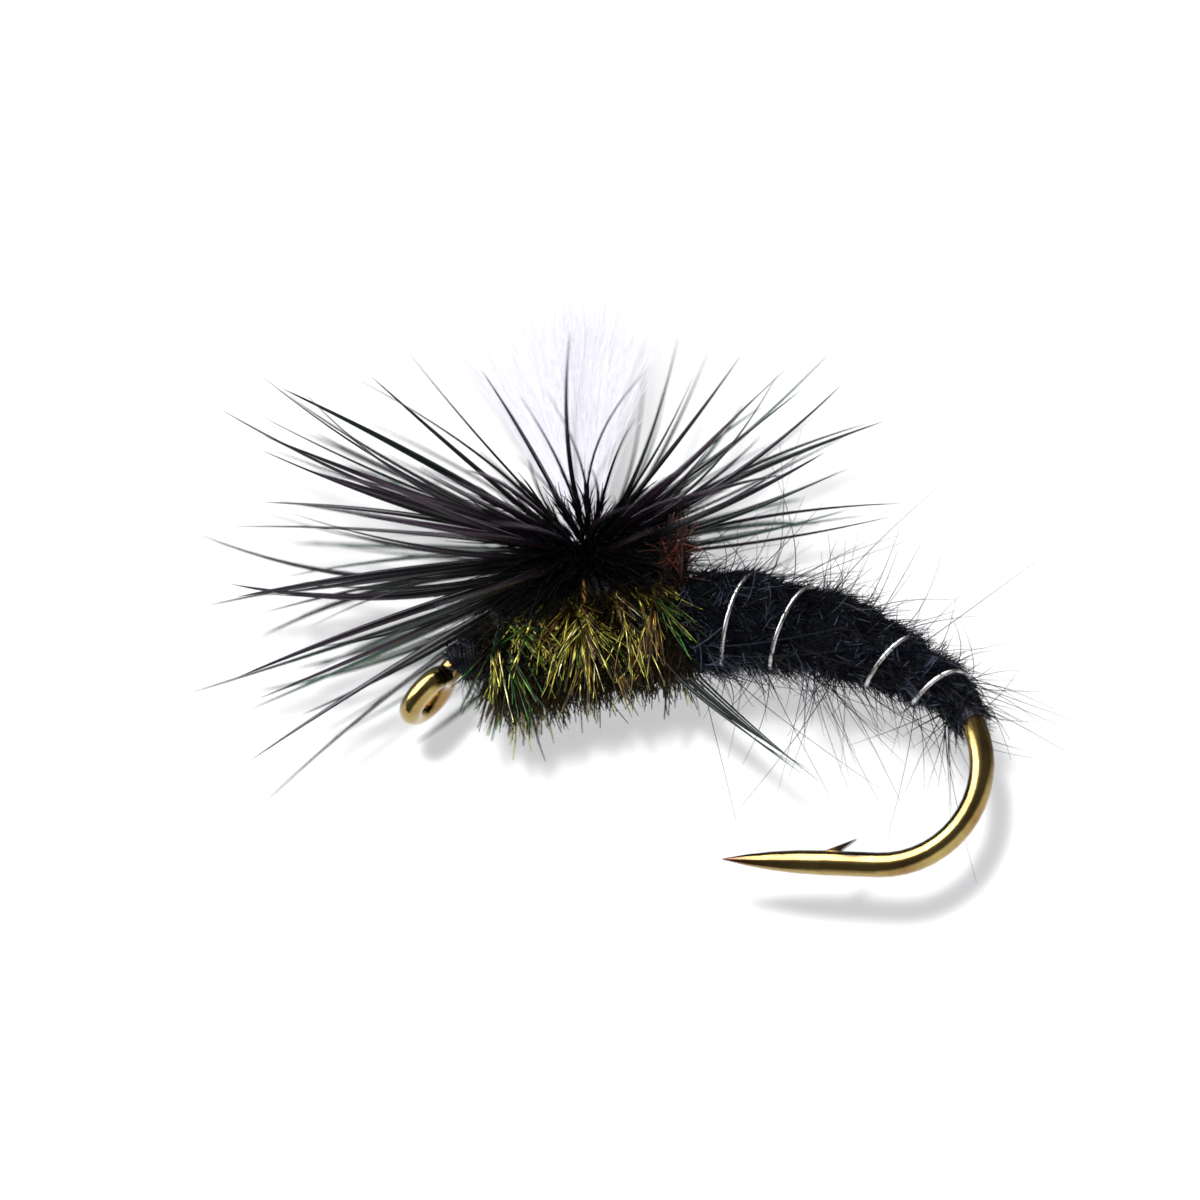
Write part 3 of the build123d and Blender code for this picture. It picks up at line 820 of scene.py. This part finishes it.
# Turns of herl that stand out as fans: place along X, hanging length, number of barbules by colour
HERL_FANS = (
    {"x": 1.85, "length": 1.95, "gold": 150, "green": 90},
    {"x": 2.55, "length": 1.60, "gold": 60, "green": 20},
    {"x": 3.40, "length": 1.90, "gold": 220, "green": 40},
    {"x": 4.15, "length": 1.50, "gold": 60, "green": 20},
    {"x": 4.85, "length": 1.70, "gold": 180, "green": 40},
)
BARBULES_PER_TUFT = 9


def herl_fan(rng, x, length, count):
    """Barbules of one turn of herl, in tufts that leave the quill at each side and fan out below."""
    points = 8
    tufts = count // BARBULES_PER_TUFT + 1
    tuft = rng.integers(0, tufts, count)
    side = np.where(rng.uniform(0, 1, tufts) < 0.5, 1.0, -1.0)
    angle = side * np.clip(rng.normal(1.15, 0.55, tufts), 0.05, 3.05)
    angle = angle[tuft] + rng.normal(0, 0.10, count)
    offset = rng.normal(0, 0.24, tufts)[tuft] + rng.normal(0, 0.05, count)
    s = x - FRONT_X + offset
    root = around(s, rng.uniform(0.60, 0.95, count), angle)
    outward = unit(root - shank(s)[0])
    hang = np.array([0, 0, -1.0]) * rng.uniform(0.8, 1.3, count)[:, None]
    lean = rng.normal(0, 0.42, tufts)[tuft] + rng.normal(0, 0.20, count)
    fan = (offset * 0.5 + lean)[:, None] * np.array([1.0, 0, 0])
    aim = unit(outward * rng.uniform(0.15, 0.55, count)[:, None] + hang + fan)
    low = np.clip(-aim[:, 2], 0, 1)
    shorter = (0.6 + 0.4 * low) * (1 - 0.25 * np.abs(angle) / np.pi)
    reach = length * rng.uniform(0.45, 1.05, count) * shorter
    return arcs(root, aim, reach, rng.normal(0, 0.06, (count, 3)), points)


def herl_layer(name, rng, colour, scale, material):
    """One colour of barbules over every turn of the herl."""
    fans = [herl_fan(rng, fan["x"], fan["length"] * scale, fan[colour]) for fan in HERL_FANS]
    paths = np.concatenate(fans)
    total, points = paths.shape[:2]
    radii = taper(total, points, 0.031, 0.012, 3) * rng.uniform(0.7, 1.2, total)[:, None]
    hue = rng.uniform(0, 1, total)
    return strands(name, paths, radii, hue, material, "herl_flue", flat=0.6, sides=4)


def herl_core(rng):
    """The dark inner flue that hides the quill: short barbules standing out all round the shank."""
    count, points = 5200, 5
    s = rng.uniform(HERL_FRONT, HERL_REAR, count) - FRONT_X
    angle = rng.uniform(0, 2 * np.pi, count)
    root = around(s, rng.uniform(0.3, 0.55, count), angle)
    outward = unit(root - shank(s)[0])
    aim = unit(outward + rng.normal(0, 0.45, (count, 3)) + np.array([0, 0, -0.4]))
    length = rng.uniform(0.35, 0.62, count) * (1 + 0.95 * np.clip(-outward[:, 2], 0, 1))
    paths = arcs(root, aim, length, rng.normal(0, 0.15, (count, 3)), points)
    hue = rng.uniform(0, 1, count) ** 1.5
    strands("herl_flue_core", paths, taper(count, points, 0.030, 0.010), hue, HERL_DARK, "herl_flue")


flue = herl_layer("herl_flue_gold", np.random.default_rng(70), "gold", 1.0, HERL_GOLD)
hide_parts("herl_flue")
herl_layer("herl_flue_green", np.random.default_rng(71), "green", 1.08, HERL_GREEN)
herl_core(np.random.default_rng(72))


def tag_stubs(rng, count, points):
    """Centre lines of the trimmed ends behind the thorax, which lean a little to the rear."""
    low, high = box_mm("herl_tags")
    first = low - np.array([0.3, 0.35, 0])
    last = np.array([high[0] - 0.2, high[1] - 0.2, low[2] + 0.2])
    root = rng.uniform(first, last, (count, 3))
    lean = (rng.normal(0.3, 0.35, count), rng.normal(-0.1, 0.35, count), np.ones(count))
    aim = unit(np.stack(lean, -1))
    return arcs(root, aim, rng.uniform(0.7, 1.1, count), rng.normal(0, 0.1, (count, 3)), points)


def herl_tags(rng):
    """Trimmed red-brown ends behind the thorax, each a stub with a fringe of stiff flue."""
    count, points = 9, 8
    paths = tag_stubs(rng, count, points)
    radii = taper(count, points, 0.045, 0.025)
    hue = rng.uniform(0, 0.5, count)
    piece = strands("herl_tag_ends", paths, radii, hue, RED_TAG, "herl_tag", sides=6)
    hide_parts("herl_tags")
    fringe = 170
    owner = rng.integers(0, count, fringe)
    place = rng.integers(1, points, fringe)
    out = unit(rng.normal(0, 0.8, (fringe, 3)) + np.array([0.35, 0, 0.8]))
    reach = rng.uniform(0.3, 0.85, fringe)
    hair = arcs(paths[owner, place], out, reach, rng.normal(0, 0.18, (fringe, 3)), 5)
    hue = rng.uniform(0, 1, fringe)
    strands("herl_tag_flue", hair, taper(fringe, 5, 0.020, 0.007), hue, RED_TAG, "herl_tag")


herl_tags(np.random.default_rng(75))


# ---------------------------------------------------------------------- head

# Distances behind the neck, in millimetres, and the radii of the head and of its thread
HEAD_FRONT = -0.27
HEAD_REAR = 0.50
HEAD_FRONT_R = 0.29
HEAD_FLARE = 0.13
LAYER_RISE = 0.018
THREAD_R = 0.034
# Passes of thread over the head: where each starts and ends along it, and its number of turns
PASSES = ((0.0, 1.0, 12), (1.0, 0.0, 9), (0.0, 0.9, 10), (0.9, 0.1, 8))


def head_wraps(rng):
    """The thread head: crossing turns of waxed thread from the eye ring back to the thorax."""
    steps = 300
    layers = []
    for layer, (first, last, turns) in enumerate(PASSES):
        wander = 0.02 * np.sin(np.linspace(0, 9, steps) + layer)
        share = np.clip(np.linspace(first, last, steps) + wander, 0, 1)
        radius = HEAD_FRONT_R + HEAD_FLARE * share + LAYER_RISE * layer
        angle = np.linspace(0, 2 * np.pi * turns, steps) + rng.uniform(0, 6)
        layers.append(around(HEAD_FRONT + (HEAD_REAR - HEAD_FRONT) * share, radius, angle))
    paths = np.stack(layers)
    radii = np.full(paths.shape[:2], THREAD_R)
    cord = {"across": np.tile([1.0, 0, 0], (len(paths), 1)), "sides": 6}
    hue = np.array([0.3, 0.8, 0.55, 0.95])
    piece = strands("head_thread", paths, radii, hue, WOUND_THREAD, "head_thread", **cord)
    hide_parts("thread_head")


def head_fuzz(rng):
    """Stray ends of black dubbing caught under the thread of the head."""
    count, points = 520, 7
    angle = rng.uniform(0, 2 * np.pi, count)
    s = rng.uniform(-0.15, 0.75, count)
    root = around(s, np.full(count, 0.34), angle)
    aim = unit(root - shank(s)[0] + rng.normal(0, 0.35, (count, 3)))
    paths = arcs(root, aim, rng.uniform(0.15, 0.55, count), rng.normal(0, 0.3, (count, 3)), points)
    hue = rng.uniform(0, 1, count)
    strands("head_fuzz", paths, taper(count, points, 0.014, 0.004), hue, BLACK_FUR, "dubbed_fur")


head_fuzz(np.random.default_rng(81))
head_wraps(np.random.default_rng(80))


# ---------------------------------------------------------------------- wing

HANK_R = 0.22
# Height of the yarn's butt above the shank's centre, and the share of the hank that lies flat
BUTT_HEIGHT = 0.50
FLAT_SHARE = 0.45
# Height of the foot of the tuft, from the hinge
TUFT_FOOT = -0.30


def wing_yarn(rng):
    """The hank below the hinge: fibres along the top of the shank that turn up into the column."""
    _, high = box_mm("wing_yarn")
    count, points = 160, 22
    spot = rng.uniform(0, 2 * np.pi, count)
    ring = HANK_R * np.sqrt(rng.uniform(0, 1, count))
    t = np.linspace(0, 1, points)[None, :]
    butt_z = SHANK_Z + BUTT_HEIGHT
    forward = np.clip(t / FLAT_SHARE, 0, 1)
    upward = np.clip((t - FLAT_SHARE) / (1 - FLAT_SHARE), 0, 1)
    upright = np.clip((t - 0.35) / 0.2, 0, 1)
    above = (ring * np.cos(spot))[:, None]
    x = high[0] - (high[0] - POST_X) * forward + above * upright
    y = (ring * np.sin(spot))[:, None] * np.ones_like(t)
    z = butt_z + (high[2] - butt_z) * upward + above * 0.3 * (1 - upright)
    paths = np.stack([x, y, z], -1)
    radii = np.full((count, points), 0.018)
    piece = strands("yarn_root", paths, radii, rng.uniform(0, 1, count), BOUND_YARN, "wing_yarn")
    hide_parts("wing_yarn")


def tuft_paths(rng, count, points):
    """Centre lines of a loose fan of crimped fibres, which ends unevenly."""
    _, high = box_mm("wing_tuft")
    foot_z = PIVOT_Z + TUFT_FOOT
    spot = rng.uniform(0, 2 * np.pi, count)
    ring = HANK_R * np.sqrt(rng.uniform(0, 1, count))
    root = np.stack([POST_X + ring * np.cos(spot), ring * np.sin(spot), np.full(count, foot_z)], -1)
    fan = np.clip(rng.normal(0.0, 0.22, count), -0.38, 0.52)
    thick = rng.normal(0, 0.09, count)
    reach = (high[2] - foot_z) * np.clip(rng.normal(0.85, 0.13, count), 0.45, 1.03)
    aim = unit(np.stack([fan * 0.7, thick * 0.6, np.ones(count)], -1))
    bend = np.stack([fan * 0.35, thick * 0.5, np.full(count, -0.02)], -1)
    paths = arcs(root, aim, reach, bend, points)
    t = np.linspace(0, 1, points)[None, :]
    waves = rng.uniform(9, 18, count)[:, None]
    crimp = 0.06 * t * np.sin(waves * t + rng.uniform(0, 6, count)[:, None])
    paths[..., 0] += crimp
    paths[..., 1] += np.roll(crimp, 1, 0)
    return paths


def wing_tuft(rng):
    """The free wing: pale fibres whose foot sits just below the hinge."""
    count, points = 900, 16
    paths = tuft_paths(rng, count, points)
    radii = taper(count, points, 0.014, 0.008)
    hue = rng.uniform(0, 1, count)
    piece = strands("wing_tuft_fibres", paths, radii, hue, PALE_YARN, "wing_yarn", body=None)
    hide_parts("wing_tuft")
    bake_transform(piece)


wing_yarn(np.random.default_rng(90))
wing_tuft(np.random.default_rng(91))


# -------------------------------------------------------------------- studio

AZIMUTH = math.radians(10)
ELEVATION = math.radians(-14)
ROLL = math.radians(9)
# Middle of the picture, right of and above the hook eye as the camera sees it
TARGET_RIGHT = 3.436
TARGET_UP = 1.904
VIEW_WIDTH = 24.0
SENSOR = 36.0
LENS = 400.0
F_STOP = 64.0
# The sharpest plane passes just in front of the post's foot
FOCUS_Y = -1.2
FOCUS_Z = 1.0
SHEET_DEPTH = 8.0
# The lamp: up and left of the camera, per unit of distance; its energy in watts, the rest in metres
KEY_UP = 0.098
KEY_LEFT = 0.048
KEY_DISTANCE = 0.5
KEY_SIZE = 0.013
KEY_ENERGY = 1.55
# What bright metal sees, from the lower right to the upper left: place and brightness
ROOM_BANDS = ((0.14, 1.3), (0.28, 0.11), (0.64, 0.12), (0.79, 0.5), (0.83, 9.0))
ROOM_LIGHT = (0.73, 0.73, 0.74, 1)


def camera_axes():
    """Right, up and back directions of the camera, rolled with the fly's tilt."""
    right = Vector((math.cos(AZIMUTH), math.sin(AZIMUTH), 0))
    back = Vector(
        (
            math.sin(AZIMUTH) * math.cos(ELEVATION),
            -math.cos(AZIMUTH) * math.cos(ELEVATION),
            math.sin(ELEVATION),
        )
    )
    up = back.cross(right)
    rolled_right = right * math.cos(ROLL) - up * math.sin(ROLL)
    rolled_up = right * math.sin(ROLL) + up * math.cos(ROLL)
    return rolled_right, rolled_up, back


RIGHT, UP, BACK = camera_axes()
TARGET = (RIGHT * TARGET_RIGHT + UP * TARGET_UP) * MM


def add_camera():
    """A long lens far off, with the thorax in focus and the far barbs a little soft."""
    data = bpy.data.cameras.new("camera")
    data.lens = LENS
    data.sensor_width = SENSOR
    data.clip_start = 0.01
    data.clip_end = 5
    camera = bpy.data.objects.new("camera", data)
    bpy.context.scene.collection.objects.link(camera)
    distance = VIEW_WIDTH * MM * LENS / SENSOR
    rotation = Matrix((RIGHT, UP, BACK)).transposed()
    camera.matrix_world = Matrix.Translation(TARGET + BACK * distance) @ rotation.to_4x4()
    bpy.context.scene.camera = camera
    focus = bpy.data.objects.new("focus", None)
    focus.location = Vector((POST_X, FOCUS_Y, FOCUS_Z)) * MM
    bpy.context.scene.collection.objects.link(focus)
    data.dof.use_dof = True
    data.dof.focus_object = focus
    data.dof.aperture_fstop = F_STOP


def add_sheet():
    """The white sheet behind the fly, seen from its front only and darker in upward reflections."""
    shader = Shader("white_sheet")
    geometry = shader.node("ShaderNodeNewGeometry")
    height = shader.node("ShaderNodeVectorMath", operation="DOT_PRODUCT")
    height.inputs[1].default_value = UP
    shader.link(geometry.outputs["Incoming"], height.inputs[0])
    level = shader.scale(height.outputs["Value"], 0.0, 1.0, start=-1)
    reflected = shader.ramp(level, [(0.4, (0.12, 0.12, 0.12)), (0.6, (0.95, 0.95, 0.95))])
    rays = shader.node("ShaderNodeLightPath")
    colour = shader.mix("MIX", rays.outputs["Is Glossy Ray"], (0.92, 0.92, 0.925), reflected)
    shader.set(Base_Color=colour, Roughness=0.9)
    shader.bump(shader.noise(3000, 3), 0.00002, 0.1)
    clear = shader.node("ShaderNodeBsdfTransparent")
    blend = shader.node("ShaderNodeMixShader")
    shader.link(geometry.outputs["Backfacing"], blend.inputs[0])
    shader.link(shader.surface.outputs[0], blend.inputs[1])
    shader.link(clear.outputs[0], blend.inputs[2])
    shader.link(blend.outputs[0], shader.tree.nodes["Material Output"].inputs["Surface"])
    half = 0.4
    centre = TARGET - BACK * SHEET_DEPTH * MM
    signs = ((-1, -1), (1, -1), (1, 1), (-1, 1))
    corners = [centre + RIGHT * half * i + UP * half * j for i, j in signs]
    mesh = bpy.data.meshes.new("sheet")
    mesh.from_pydata(corners, [], [(0, 1, 2, 3)])
    mesh.materials.append(shader.material)
    sheet = bpy.data.objects.new("sheet", mesh)
    bpy.context.scene.collection.objects.link(sheet)


def add_key():
    """A small lamp a little above and left of the camera, which lays a pale shadow down and right."""
    toward = BACK + UP * KEY_UP - RIGHT * KEY_LEFT
    data = bpy.data.lights.new("key", "AREA")
    data.energy = KEY_ENERGY
    data.size = KEY_SIZE
    lamp = bpy.data.objects.new("key", data)
    bpy.context.scene.collection.objects.link(lamp)
    lamp.location = TARGET + toward.normalized() * KEY_DISTANCE
    lamp.rotation_euler = toward.to_track_quat("Z", "Y").to_euler()
    lamp.visible_glossy = False


def add_world():
    """Even white light, which reflections see as a softbox at the upper left over a dark room."""
    world = bpy.data.worlds.new("studio")
    world.use_nodes = True
    tree = world.node_tree
    softbox = tree.nodes.new("ShaderNodeVectorMath")
    softbox.operation = "DOT_PRODUCT"
    softbox.inputs[1].default_value = (UP * 0.8 - RIGHT * 0.6).normalized()
    tree.links.new(tree.nodes.new("ShaderNodeTexCoord").outputs["Generated"], softbox.inputs[0])
    stretch = tree.nodes.new("ShaderNodeMapRange")
    stretch.inputs["From Min"].default_value = -1
    tree.links.new(softbox.outputs["Value"], stretch.inputs["Value"])
    ramp = tree.nodes.new("ShaderNodeValToRGB")
    while len(ramp.color_ramp.elements) < len(ROOM_BANDS):
        ramp.color_ramp.elements.new(0.5)
    for element, (place, shade) in zip(ramp.color_ramp.elements, ROOM_BANDS):
        element.position = place
        element.color = (shade, shade, shade, 1)
    tree.links.new(stretch.outputs["Result"], ramp.inputs["Fac"])
    pick = tree.nodes.new("ShaderNodeMix")
    pick.data_type = "RGBA"
    tree.links.new(tree.nodes.new("ShaderNodeLightPath").outputs["Is Glossy Ray"], pick.inputs[0])
    pick.inputs[6].default_value = ROOM_LIGHT
    tree.links.new(ramp.outputs["Color"], pick.inputs[7])
    tree.links.new(pick.outputs[2], tree.nodes["Background"].inputs["Color"])
    bpy.context.scene.world = world


add_camera()
add_sheet()
add_key()
add_world()
bpy.context.scene.view_settings.view_transform = "Standard"
